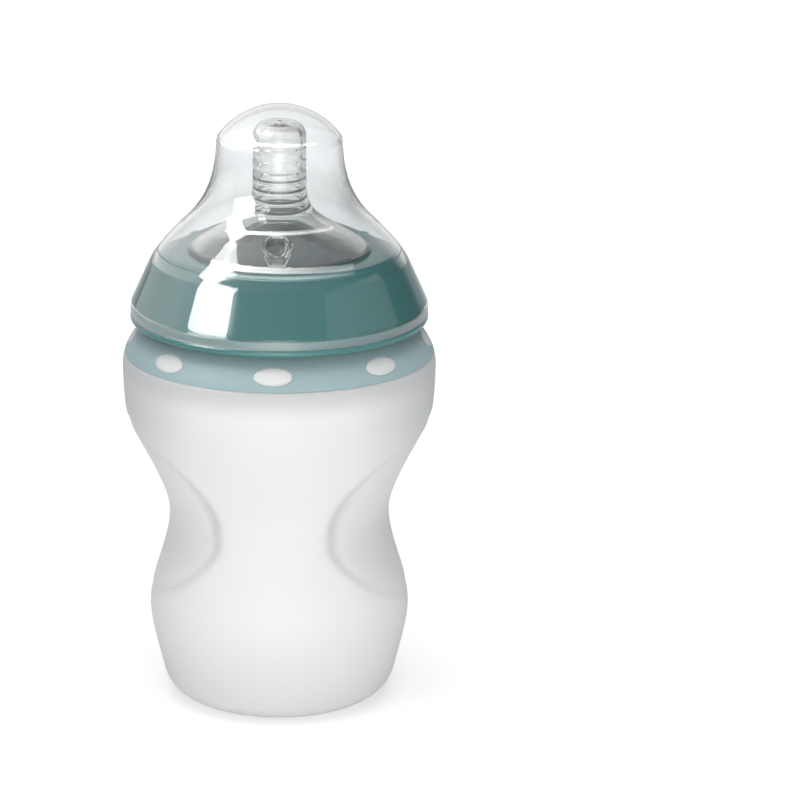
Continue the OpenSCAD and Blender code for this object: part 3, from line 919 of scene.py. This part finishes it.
def digits(text, height):
    """A number's flat letter shapes as (points, faces), its foot at zero height."""
    curve = bpy.data.curves.new("digits", "FONT")
    curve.body, curve.size, curve.resolution_u = text, height / 0.7, 3
    carrier = bpy.data.objects.new("digits", curve)
    mesh = bpy.data.meshes.new_from_object(carrier)
    points = np.zeros(len(mesh.vertices) * 3)
    mesh.vertices.foreach_get("co", points)
    faces = [tuple(p.vertices) for p in mesh.polygons]
    bpy.data.objects.remove(carrier)
    bpy.data.curves.remove(curve)
    bpy.data.meshes.remove(mesh)
    return points.reshape(-1, 3)[:, :2], faces


class BOTTLE_OT_scale(bpy.types.Operator):
    """Prints a plain volume scale on the back of the body, in steps of 30"""

    bl_idname = "bottle.scale"
    bl_label = "Volume scale"

    def execute(self, context):
        s = sizes()
        steps, figure_h, gap = 7, 3.0, 1.6
        points, faces, start = [], [], 0
        for volume in range(30, 241, 10):
            z = level_at(s, volume)
            main = volume % 30 == 0
            width, half = (7.0, 0.22) if main else (4.0, 0.15)
            x = np.linspace(-width, 0, steps + 1)
            dash = np.vstack([np.column_stack([x, side + 0 * x]) for side in (z - half, z + half)])
            marks = [(dash, [(i, i + 1, i + steps + 2, i + steps + 1) for i in range(steps)])]
            if main:
                # seen from behind, the reader's right is -X, so sideways runs on as it is read
                figures, shapes = digits(str(volume), figure_h)
                marks.append((figures + [gap, z - figure_h / 2], shapes))
            for flat, shapes in marks:
                points.append(flat)
                faces += [tuple(start + i for i in shape) for shape in shapes]
                start += len(flat)
        mesh = bpy.data.meshes.new("volume_scale")
        mesh.from_pydata(wrapped(s, np.vstack(points), 0.05) * MM, [], faces)
        weld(mesh)
        mesh.materials.append(printed_ink())
        piece = new_object("volume_scale", mesh)
        skin = piece.modifiers.new("ink", "SOLIDIFY")
        skin.thickness, skin.offset = 0.04 * MM, 1
        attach(piece, "bottle")
        return {"FINISHED"}


# ---------------------------------------------------------------- materials


SILICONE_IOR = 1.41
POLYPROPYLENE_IOR = 1.49
WHITE = (1, 1, 1, 1)


def add(tree, kind, inputs=None, **settings):
    """A new shader node with its settings. inputs maps a socket to a value, to the output that
    feeds it, or to a node whose first output does."""
    node = tree.nodes.new("ShaderNode" + kind)
    for name, value in settings.items():
        setattr(node, name, value)
    for socket, value in (inputs or {}).items():
        if isinstance(value, bpy.types.Node):
            value = value.outputs[0]
        if isinstance(value, bpy.types.NodeSocket):
            tree.links.new(value, node.inputs[socket])
        else:
            node.inputs[socket].default_value = value
    return node


def new_material(name):
    """An empty node material, its tree and its Object coordinates."""
    found = bpy.data.materials.new(name)
    found.use_nodes = True
    found.node_tree.nodes.clear()
    where = add(found.node_tree, "TexCoord").outputs["Object"]
    return found, found.node_tree, where


def shade(base, *shares):
    """The base colour with its red, green and blue each times a share."""
    return (*(c * share for c, share in zip(base, shares)), 1)


def clouded(tree, where, base, share, scale, detail=2):
    """A soft noise, and the colour that it draws: from a share of the base to the base."""
    cloud = add(tree, "TexNoise", {"Vector": where, "Scale": scale, "Detail": detail})
    tint = add(tree, "Mix", {
        "Factor": cloud, 6: shade(base, share, share, share), 7: base}, data_type="RGBA")
    return cloud, tint.outputs[2]


def moulded(tree, tint, ior, gloss, relief, more):
    """A moulded skin. gloss holds a pattern and the roughness at its 0 and its 1, relief holds
    a pattern, its strength and its depth in metres, and more holds further inputs."""
    rough = add(tree, "MapRange", {
        "Value": gloss[0], "To Min": gloss[1], "To Max": gloss[2]})
    bump = add(tree, "Bump", {
        "Height": relief[0], "Strength": relief[1], "Distance": relief[2]})
    return add(tree, "BsdfPrincipled", {
        "Base Color": tint, "Roughness": rough, "IOR": ior, "Normal": bump, **more})


def frosted_silicone():
    """Liquid silicone rubber from a sandblasted mould: milky and soft, so light enters and spreads
    a few millimetres, with a fine grain that breaks up every highlight. Shade is painted into its
    colour at the foot, under the collar, in the grips' folds and on the shoulder's sides."""
    name = "Frosted silicone rubber"
    if name in bpy.data.materials:
        return bpy.data.materials[name]
    found, tree, where = new_material(name)
    s, white = sizes(), paint("silicone")
    place = add(tree, "SeparateXYZ", {0: where}).outputs
    _, milky = clouded(tree, where, white, 0.98, 45)
    # painted shade: the rubber is drawn darker towards the foot and where it goes in under the
    # collar
    foot = add(tree, "MapRange", {
        "Value": place["Z"], "From Min": 2 * MM, "From Max": 30 * MM,
        "To Min": 0.8, "To Max": 0})
    seam = add(tree, "MapRange", {
        "Value": place["Z"], "From Min": (s.body_h - 8) * MM, "From Max": s.body_h * MM},
        interpolation_type="SMOOTHSTEP")
    below = add(tree, "Math", {0: place["Z"], 1: s.body_h * MM}, operation="LESS_THAN")
    under = add(tree, "Math", {0: seam, 1: below}, operation="MULTIPLY")
    foot_seam_shade = add(tree, "Math", {0: foot, 1: under}, operation="MAXIMUM")
    # the darker colour mixed in here is painted shade over the foot and under the collar
    tint = add(tree, "Mix", {
        "Factor": foot_seam_shade, 6: milky, 7: shade(white, 0.71, 0.72, 0.73)}, data_type="RGBA")
    # painted shade: the folds along the grips' edges, the grips behind them and the sides of the
    # shoulder are drawn darker too
    fold, grip = (add(tree, "Attribute", attribute_name=mark).outputs["Fac"]
                  for mark in ("fold", "grip"))
    deep = add(tree, "Math", {0: fold, 1: 0.7}, operation="MULTIPLY")
    behind = add(tree, "Math", {0: grip, 1: 0.14, 2: deep}, operation="MULTIPLY_ADD")
    aside = add(tree, "Math", {0: place["X"]}, operation="ABSOLUTE")
    side_shade = add(tree, "MapRange", {
        "Value": aside, "From Min": 20 * MM, "From Max": 40 * MM, "To Min": 0, "To Max": 0.75})
    shoulder_shade = add(tree, "MapRange", {
        "Value": place["Z"], "From Min": (s.body_h - 34) * MM, "From Max": (s.body_h - 12) * MM})
    both = add(tree, "Math", {0: side_shade, 1: shoulder_shade, 2: behind},
               operation="MULTIPLY_ADD")
    # the darker colour mixed in here is painted shade in the folds, the grips and on the
    # shoulder's sides
    tint = add(tree, "Mix", {
        "Factor": both, 6: tint.outputs[2], 7: shade(white, 0.66, 0.68, 0.71)},
        data_type="RGBA")
    # grit of 0.15 mm can't show at this distance, so it is drawn 0.5 mm wide
    grain = add(tree, "TexNoise", {"Vector": where, "Scale": 2000, "Detail": 1})
    skin = moulded(tree, tint.outputs[2], SILICONE_IOR, (grain, 0.46, 0.58),
                   (grain, 0.08, 0.0002),
                   {"Subsurface Weight": 0.5, "Subsurface Radius": (1.0, 0.95, 0.9),
                    "Subsurface Scale": 0.002})
    add(tree, "OutputMaterial", {"Surface": skin})
    return found


def satin_polypropylene():
    """Polypropylene moulded against a vapour-honed tool: an even pale colour with a soft,
    wide sheen and the faintest waviness."""
    found, tree, where = new_material("Satin moulded polypropylene")
    cloud, tint = clouded(tree, where, paint("collar"), 0.96, 70, 3)
    # the honed skin's pits are 0.1 mm, drawn 0.4 mm wide so that they show
    pits = add(tree, "TexNoise", {"Vector": where, "Scale": 2500, "Detail": 1})
    skin = moulded(tree, tint, POLYPROPYLENE_IOR, (cloud, 0.5, 0.6), (pits, 0.06, 0.0001),
                   {"Specular IOR Level": 0.2, "Subsurface Weight": 0.12,
                    "Subsurface Scale": 0.0015})
    add(tree, "OutputMaterial", {"Surface": skin})
    return found


def polished_polypropylene():
    """Polypropylene moulded against a polished tool: deep colour under a clear reflection,
    which ripples a little over some millimetres as moulded plastic does."""
    found, tree, where = new_material("Polished moulded polypropylene")
    cloud, tint = clouded(tree, where, paint("ring"), 0.95, 40)
    ripple = add(tree, "TexNoise", {"Vector": where, "Scale": 120, "Detail": 1})
    skin = moulded(tree, tint, POLYPROPYLENE_IOR, (cloud, 0.1, 0.16), (ripple, 0.04, 0.0004), {})
    add(tree, "OutputMaterial", {"Surface": skin})
    return found


def see_through(tree, skin, tint, density):
    """The shader with its shadow and its diffuse rays let straight through, tinted, so that
    lamps reach what lies behind. The body takes up a little light on the way, which greys the
    wall where it is seen edge on."""
    path = add(tree, "LightPath").outputs
    passes = add(tree, "Math", {
        0: path["Is Shadow Ray"], 1: path["Is Diffuse Ray"]}, operation="MAXIMUM")
    clear = add(tree, "BsdfTransparent", {"Color": tint})
    both = add(tree, "MixShader", {"Fac": passes, 1: skin, 2: clear})
    grey = add(tree, "VolumeAbsorption", {
        "Color": (0.5, 0.5, 0.5, 1), "Density": density})
    add(tree, "OutputMaterial", {"Surface": both, "Volume": grey})


def clear_silicone():
    """Clear liquid silicone rubber: soft glass to the eye, a little milky, with a satin face
    that blurs what is behind it."""
    found, tree, where = new_material("Clear silicone rubber")
    film = add(tree, "TexNoise", {"Vector": where, "Scale": 300, "Detail": 2})
    skin = moulded(tree, paint("teat"), SILICONE_IOR, (film, 0.05, 0.1), (film, 0.05, 0.0002),
                   {"Transmission Weight": 0.95})
    see_through(tree, skin, (0.96, 0.96, 0.96, 1), 5)
    return found


def clear_polypropylene():
    """Clarified polypropylene from a polished tool: clear and hard, with sharp reflections
    that sway where the wall's thickness changes."""
    found, tree, where = new_material("Clarified polypropylene")
    ripple = add(tree, "TexNoise", {"Vector": where, "Scale": 90, "Detail": 1})
    bump = add(tree, "Bump", {"Height": ripple, "Strength": 0.03, "Distance": 0.0004})
    gloss = add(tree, "MapRange", {"Value": ripple, "To Min": 0.015, "To Max": 0.035})
    # the band that sits on the ledge comes from an etched part of the tool, so it is matt
    height = add(tree, "SeparateXYZ", {0: where}).outputs["Z"]
    band = add(tree, "MapRange", {
        "Value": height, "From Min": (low("cap") + 2) * MM, "From Max": (low("cap") + 2.2) * MM,
        "To Min": 1, "To Max": 0})
    rough = add(tree, "Mix", {"Factor": band, 2: gloss, 3: 0.28})
    clear = add(tree, "MapRange", {"Value": band, "To Min": 1, "To Max": 0.9})
    skin = add(tree, "BsdfPrincipled", {
        "Base Color": paint("cap"), "Roughness": rough, "IOR": POLYPROPYLENE_IOR,
        "Transmission Weight": clear, "Normal": bump})
    see_through(tree, skin, (0.97, 0.97, 0.97, 1), 130)
    return found


def printed_ink():
    """Grey silicone ink from a pad: dense and flat, with a slightly uneven film."""
    found, tree, where = new_material("Grey pad printing ink")
    _, tint = clouded(tree, where, paint("ink"), 0.93, 900)
    skin = add(tree, "BsdfPrincipled", {"Base Color": tint, "Roughness": 0.45})
    add(tree, "OutputMaterial", {"Surface": skin})
    return found


# ---------------------------------------------------------------- stage


def seen_rays(tree):
    """1 for the rays that show the background: from the camera, or through or off a clear or
    glossy surface."""
    path = add(tree, "LightPath").outputs
    first = add(tree, "Math", {0: path["Is Camera Ray"], 1: path["Is Glossy Ray"]},
                operation="MAXIMUM")
    return add(tree, "Math", {0: first, 1: path["Is Transmission Ray"]},
               operation="MAXIMUM")


def mirrored_rays(tree):
    """1 for the rays that a glossy surface has turned. A reflection that is seen through a
    clear piece ends as a ray through it, and only its depth tells it apart."""
    path = add(tree, "LightPath").outputs
    return add(tree, "Math", {0: path["Glossy Depth"], 1: 0.5},
               operation="GREATER_THAN")


def pale_floor():
    """A matt painted board, white to the eye, which keeps a soft shadow."""
    found, tree, where = new_material("Matt painted board")
    _, tint = clouded(tree, where, paint("floor"), 0.985, 400)
    board = add(tree, "BsdfDiffuse", {"Color": tint})
    # the lamps' light falls off with distance, and the board stays white to the eye
    away = add(tree, "VectorMath", {0: where}, operation="LENGTH").outputs["Value"]
    even = add(tree, "MapRange", {
        "Value": away, "From Min": 0.05, "From Max": 1.2, "To Min": 0.42, "To Max": 0.75})
    # in reflections it is darker, but for a strip in front, as if the lamp there lit it
    place = add(tree, "SeparateXYZ", {0: where}).outputs
    sideways = add(tree, "Math", {0: place["X"]}, operation="ABSOLUTE")
    strip = add(tree, "MapRange", {
        "Value": sideways, "From Min": 0.05, "From Max": 0.24, "To Min": 1, "To Max": 0})
    ahead = add(tree, "MapRange", {
        "Value": place["Y"], "From Min": -0.3, "From Max": -0.12, "To Min": 3, "To Max": 0})
    shown = add(tree, "Math", {0: strip, 1: ahead, 2: 0.12}, operation="MULTIPLY_ADD")
    level = add(tree, "Mix", {"Factor": mirrored_rays(tree), 2: even, 3: shown})
    glow = add(tree, "Emission", {"Color": WHITE, "Strength": level})
    # to the rays that only carry light, the board shines back up close to the bottle
    near = add(tree, "MapRange", {
        "Value": away, "From Min": 0.05, "From Max": 0.16, "To Min": 0.17, "To Max": 0})
    back = add(tree, "Emission", {"Color": WHITE, "Strength": near})
    lit = add(tree, "MixShader", {"Fac": seen_rays(tree), 1: back, 2: glow})
    both = add(tree, "AddShader", {0: board, 1: lit})
    add(tree, "OutputMaterial", {"Surface": both})
    return found


def light_hoop(tree, way):
    """1 in a narrow hoop over the front, and 0 elsewhere. It lies where faces that lean back by
    48 degrees mirror it, whichever way they look, as seen from 17 degrees above. A face that
    mirrors a direction looks along it less the direction of sight, made one long."""
    sight = (0, 0.956, -0.292)
    lean, half_width = 0.6625, 0.013
    middle, reach = 0.02, 0.46
    between = add(tree, "VectorMath", {0: way, 1: sight}, operation="SUBTRACT")
    face = add(tree, "SeparateXYZ", {
        0: add(tree, "VectorMath", {0: between}, operation="NORMALIZE")}).outputs
    across = add(tree, "Math", {0: face["Z"], 1: lean, 2: half_width},
                 operation="COMPARE")
    along = add(tree, "Math", {0: face["X"], 1: middle, 2: reach},
                operation="COMPARE")
    return add(tree, "Math", {0: across, 1: along}, operation="MULTIPLY")


def pale_world():
    """White behind everything for the camera. Through clear pieces it is white too, and a
    little darker overhead. In reflections it holds a studio's greys, brighter to the left than
    to the right, with a narrow hoop of light over the front. The rest is a plain soft fill."""
    world = bpy.data.worlds.new("Studio")
    bpy.context.scene.world = world
    world.use_nodes = True
    tree = world.node_tree
    tree.nodes.clear()
    path = add(tree, "LightPath").outputs
    way = add(tree, "TexCoord").outputs["Generated"]
    part = add(tree, "SeparateXYZ", {0: way}).outputs
    front = add(tree, "Math", {0: part["Y"], 1: -1}, operation="MULTIPLY")
    angle = add(tree, "Math", {0: part["X"], 1: front}, operation="ARCTAN2")
    around = add(tree, "MapRange", {
        "Value": angle, "From Min": -math.pi, "From Max": math.pi})
    # from behind by the left to the front, and on by the right to behind again
    greys = add(tree, "ValToRGB", {"Fac": around})
    steps = ((0, 0.33), (0.1, 0.4), (0.17, 0.6), (0.24, 0.75), (0.3, 0.42), (0.4, 0.22),
             (0.5, 0.17), (0.62, 0.12), (0.79, 0.03), (0.88, 0.03), (0.93, 0.3), (1, 0.33))
    ramp = greys.color_ramp.elements
    while len(ramp) < len(steps):
        ramp.new(0.5)
    for mark, (place, value) in zip(ramp, steps):
        mark.position, mark.color = place, (value, value, value, 1)
    bright = add(tree, "Math", {0: light_hoop(tree, way), 1: 85, 2: 3},
                 operation="MULTIPLY_ADD")
    mirror = add(tree, "Background", {"Color": greys, "Strength": bright})
    soft = add(tree, "MapRange", {
        "Value": part["X"], "From Min": -1, "From Max": 1, "To Min": 0.3, "To Max": 0.11})
    fill = add(tree, "Background", {"Color": (0.94, 0.97, 1, 1), "Strength": soft})
    ceiling = add(tree, "MapRange", {
        "Value": part["Z"], "From Min": 0.1, "From Max": 0.6, "To Min": 1.05, "To Max": 0.95})
    through = add(tree, "Background", {"Strength": ceiling})
    white = add(tree, "Background", {"Color": WHITE, "Strength": 1})
    seen = add(tree, "MixShader", {
        "Fac": path["Is Transmission Ray"], 1: fill, 2: through})
    shows = add(tree, "Math", {
        0: path["Is Glossy Ray"], 1: path["Is Transmission Ray"]}, operation="MAXIMUM")
    reflected = add(tree, "Math", {0: mirrored_rays(tree), 1: shows},
                    operation="MULTIPLY")
    gloss = add(tree, "MixShader", {"Fac": reflected, 1: seen, 2: mirror})
    both = add(tree, "MixShader", {"Fac": path["Is Camera Ray"], 1: gloss, 2: white})
    add(tree, "OutputWorld", {"Surface": both})


def direction(azimuth, elevation):
    """The way out from the bottle, in degrees. Azimuth 0 is the camera's side and grows to its
    right."""
    a, e = math.radians(azimuth), math.radians(elevation)
    return Vector((math.sin(a) * math.cos(e), -math.cos(a) * math.cos(e), math.sin(e)))


def soft_lamp(name, azimuth, elevation, distance, size, radiance, mirrored, tint=(1, 1, 1)):
    """A soft box that faces the bottle from this direction, and either shows in reflections or
    lights matt faces. A box of width w and height h with this radiance L has a power of
    pi w h L."""
    light = bpy.data.lights.new(name, "AREA")
    light.shape, light.size, light.size_y = "RECTANGLE", *size
    light.energy = math.pi * size[0] * size[1] * radiance
    light.color = tint
    lamp = new_object(name, light)
    away = direction(azimuth, elevation)
    lamp.location = Vector((0, 0, 0.08)) + away * distance
    lamp.rotation_euler = (-away).to_track_quat("-Z", "Y").to_euler()
    lamp.visible_camera = False
    lamp.visible_transmission = lamp.visible_glossy = mirrored
    lamp.visible_diffuse = not mirrored


def place_camera():
    """The camera looks 17 degrees down, from a little to the right of the front. It is turned
    by the angle at which the bottle stands left of the picture's middle."""
    target, distance = Vector((0, 0, 0.07644)), 1.053
    focal, sensor = 182.25, 36
    picture = 800
    bottle_column, target_row = 279.5, 410
    away = direction(2.5, 17)
    camera = bpy.data.cameras.new("camera")
    camera.lens, camera.sensor_width = focal, sensor
    camera.clip_start, camera.clip_end = 0.05, 20
    eye = new_object("camera", camera)
    level = (-away).to_track_quat("-Z", "Y").to_matrix()
    aside = math.atan((picture / 2 - bottle_column) / picture * sensor / focal)
    above = math.atan((target_row - picture / 2) / picture * sensor / focal)
    turn = level @ Matrix.Rotation(-aside, 3, "Y") @ Matrix.Rotation(above, 3, "X")
    eye.location = target + away * distance
    eye.rotation_euler = turn.to_euler()
    bpy.context.scene.camera = eye


class BOTTLE_OT_studio(bpy.types.Operator):
    """Builds the pale floor, the soft light, the world and the camera"""

    bl_idname = "bottle.studio"
    bl_label = "Studio"

    def execute(self, context):
        radius, sides = 4, 96
        t = np.linspace(0, 2 * np.pi, sides + 1)[:-1]
        mesh = bpy.data.meshes.new("floor")
        mesh.from_pydata(polar(1, t, 0 * t) * radius, [], [tuple(range(sides))])
        mesh.materials.append(pale_floor())
        new_object("floor", mesh)
        pale_world()
        soft_lamp("left_top_box", -76, 50, 0.9, (0.28, 0.36), 12, True)
        soft_lamp("left_box", -58, 32, 0.9, (0.5, 0.27), 14, True)
        soft_lamp("left_low_box", -60, 8, 0.9, (0.36, 0.36), 0.55, True)
        soft_lamp("right_panel", 75, 25, 0.9, (1.04, 0.32), 0.5, True)
        soft_lamp("front_card", 2, 11, 0.9, (0.4, 0.3), 1.6, True)
        soft_lamp("front_fill", 6, 8, 1.6, (1.4, 0.5), 5.75, False)
        soft_lamp("overhead", 0, 88, 3.0, (2.4, 2.4), 3.1, False, (0.95, 0.98, 1))
        place_camera()
        context.scene.view_settings.view_transform = "Standard"
        return {"FINISHED"}


# ---------------------------------------------------------------- add-on


OPERATORS = (BOTTLE_OT_body, BOTTLE_OT_collar, BOTTLE_OT_ring, BOTTLE_OT_teat, BOTTLE_OT_cap,
             BOTTLE_OT_scale, BOTTLE_OT_studio)


class BOTTLE_PT_build(bpy.types.Panel):
    """Lists the steps that build the bottle"""

    bl_label = "Baby bottle"
    bl_space_type = "VIEW_3D"
    bl_region_type = "UI"
    bl_category = "Bottle"

    def draw(self, context):
        for step in OPERATORS:
            self.layout.operator(step.bl_idname)


CLASSES = (BottleSizes, BottleColours, *OPERATORS, BOTTLE_PT_build)


def register():
    for c in CLASSES:
        bpy.utils.register_class(c)
    bpy.types.Scene.bottle_sizes = PointerProperty(type=BottleSizes)
    bpy.types.Scene.bottle_colours = PointerProperty(type=BottleColours)


def unregister():
    del bpy.types.Scene.bottle_colours
    del bpy.types.Scene.bottle_sizes
    for c in reversed(CLASSES):
        bpy.utils.unregister_class(c)


def main():
    """Builds the bottle and its stage."""
    register()
    bpy.ops.bottle.body()
    bpy.ops.bottle.collar()
    bpy.ops.bottle.ring()
    bpy.ops.bottle.teat()
    bpy.ops.bottle.cap()
    bpy.ops.bottle.scale()
    bpy.ops.bottle.studio()
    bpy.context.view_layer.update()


if __name__ == "__main__":
    main()
